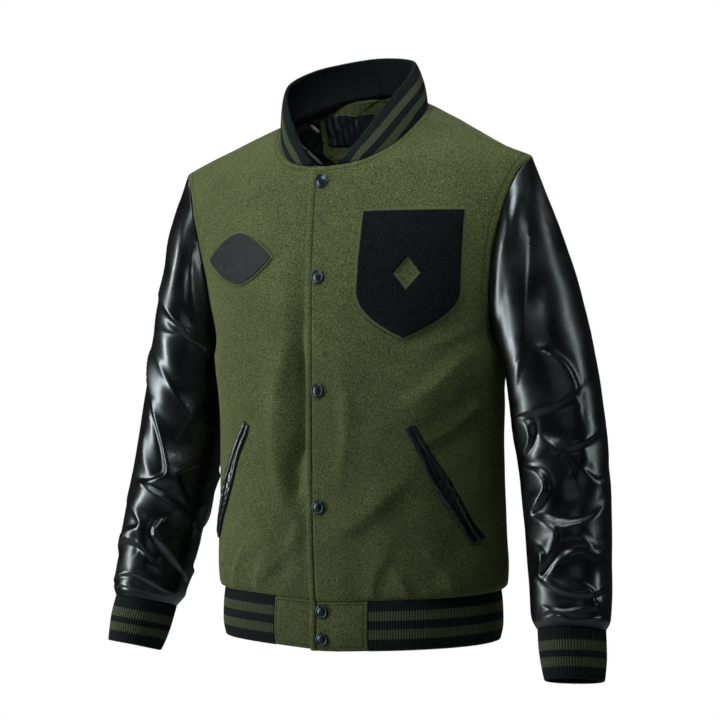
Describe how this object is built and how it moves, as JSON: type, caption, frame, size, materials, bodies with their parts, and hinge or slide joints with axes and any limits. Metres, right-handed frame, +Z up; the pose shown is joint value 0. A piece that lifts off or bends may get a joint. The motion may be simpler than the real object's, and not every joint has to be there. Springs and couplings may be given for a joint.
{
  "type": "varsity jacket",
  "caption": "Snap-front varsity jacket with wool body, leather sleeves, striped rib collar, cuffs and hem, slanted welt pockets and two chest patches.",
  "frame": {"origin": "midway between the two points where the shoulder seams meet the neckline, where a hanger or wearer holds the jacket", "axes": "+Z up along the wearer's height, +X to the wearer's left, -Y out of the front"},
  "size_m": [0.6538, 0.2094, 0.7401],
  "materials": {
    "wool": "olive green wool melton with a short nap",
    "leather": "black glossy smooth leather with soft creases",
    "rib": "dark navy rib knit with two olive stripes",
    "lining": "black satin",
    "felt": "olive felt ground and border",
    "chenille": "dark navy looped chenille",
    "snap_metal": "dark gunmetal with a polished ring"
  },
  "bodies": {
    "root": {"front_left": "wool", "front_right": "wool", "back": "wool", "front_edge_band": "wool", "hem_tab_left": "wool", "hem_tab_right": "wool", "back_neck_facing": "wool", "sleeve_left": "leather", "sleeve_right": "leather", "collar": "rib", "hem_rib": "rib", "cuff_left": "rib", "cuff_right": "rib", "pocket_lip_front_left": "leather", "pocket_lip_back_left": "leather", "pocket_bag_left": "lining", "pocket_lip_front_right": "leather", "pocket_lip_back_right": "leather", "pocket_bag_right": "lining", "snap_1": "snap_metal", "snap_2": "snap_metal", "snap_3": "snap_metal", "snap_4": "snap_metal", "snap_5": "snap_metal", "snap_6": "snap_metal", "chest_patch_felt": "felt", "chest_patch_chenille": "chenille", "oval_patch_felt": "felt", "oval_patch_face": "chenille", "lining_front_left": "lining", "lining_front_right": "lining", "lining_back": "lining", "label": "lining"}
  },
  "joints": []
}
